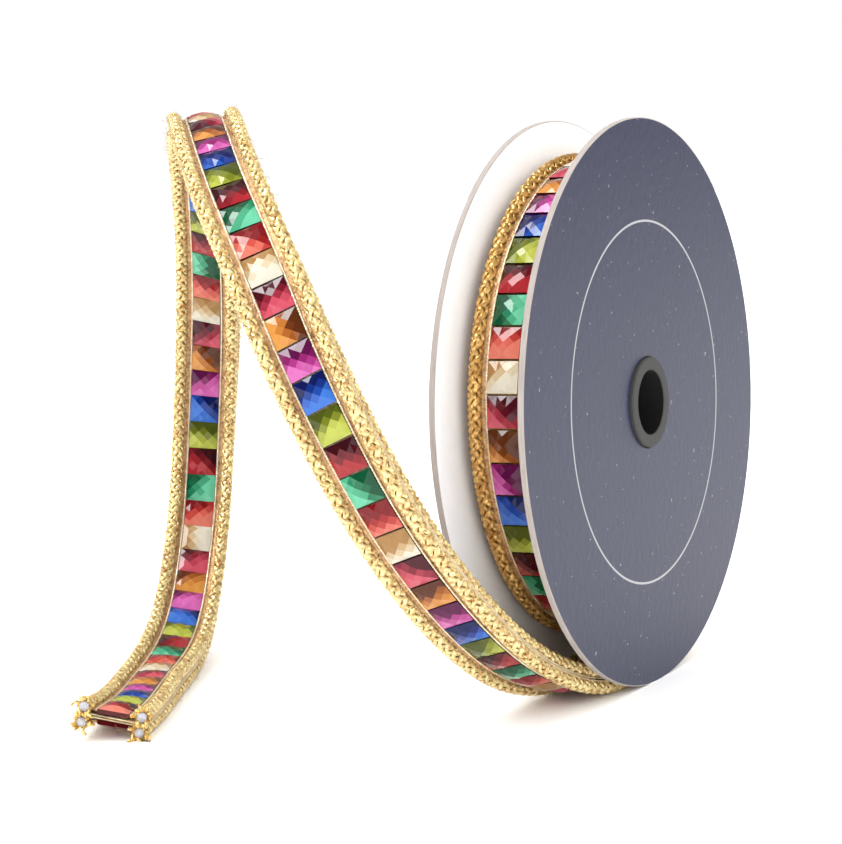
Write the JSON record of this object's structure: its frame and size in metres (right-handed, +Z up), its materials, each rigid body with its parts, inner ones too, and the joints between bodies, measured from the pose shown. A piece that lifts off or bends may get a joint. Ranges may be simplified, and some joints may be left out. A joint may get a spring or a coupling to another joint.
{
  "type": "spool of beaded trim",
  "caption": "Card spool of jewelled trim: square faceted stones between gold braided cords, its loose end looping up and over.",
  "frame": {"origin": "the middle of the near flange's foot, on the surface that the spool stands on", "axes": "+X runs along the spool's axle and out of the slate face of the near flange, +Z is up, and +Y points to the back, away from the side where the loose end comes out"},
  "size_m": [0.1998, 0.2225, 0.1892],
  "materials": {
    "slate_card": "slate-blue printed card, satin",
    "white_card": "white card",
    "grey_card": "grey board",
    "gold_braid": "plaited metallic thread",
    "gold_tape": "thin woven metallic tape",
    "stones": "clear faceted stones in nine colours, foil backed"
  },
  "bodies": {
    "root": {"near_flange": "slate_card", "far_flange": "white_card", "core_tube": "grey_card", "wound_roll": "gold_braid", "roll_stones": "stones", "outer_tape": "gold_tape", "inner_tape": "gold_tape", "outer_cord_left": "gold_braid", "outer_cord_right": "gold_braid", "inner_cord_left": "gold_braid", "inner_cord_right": "gold_braid", "outer_stones": "stones", "inner_stones": "stones"}
  },
  "joints": []
}
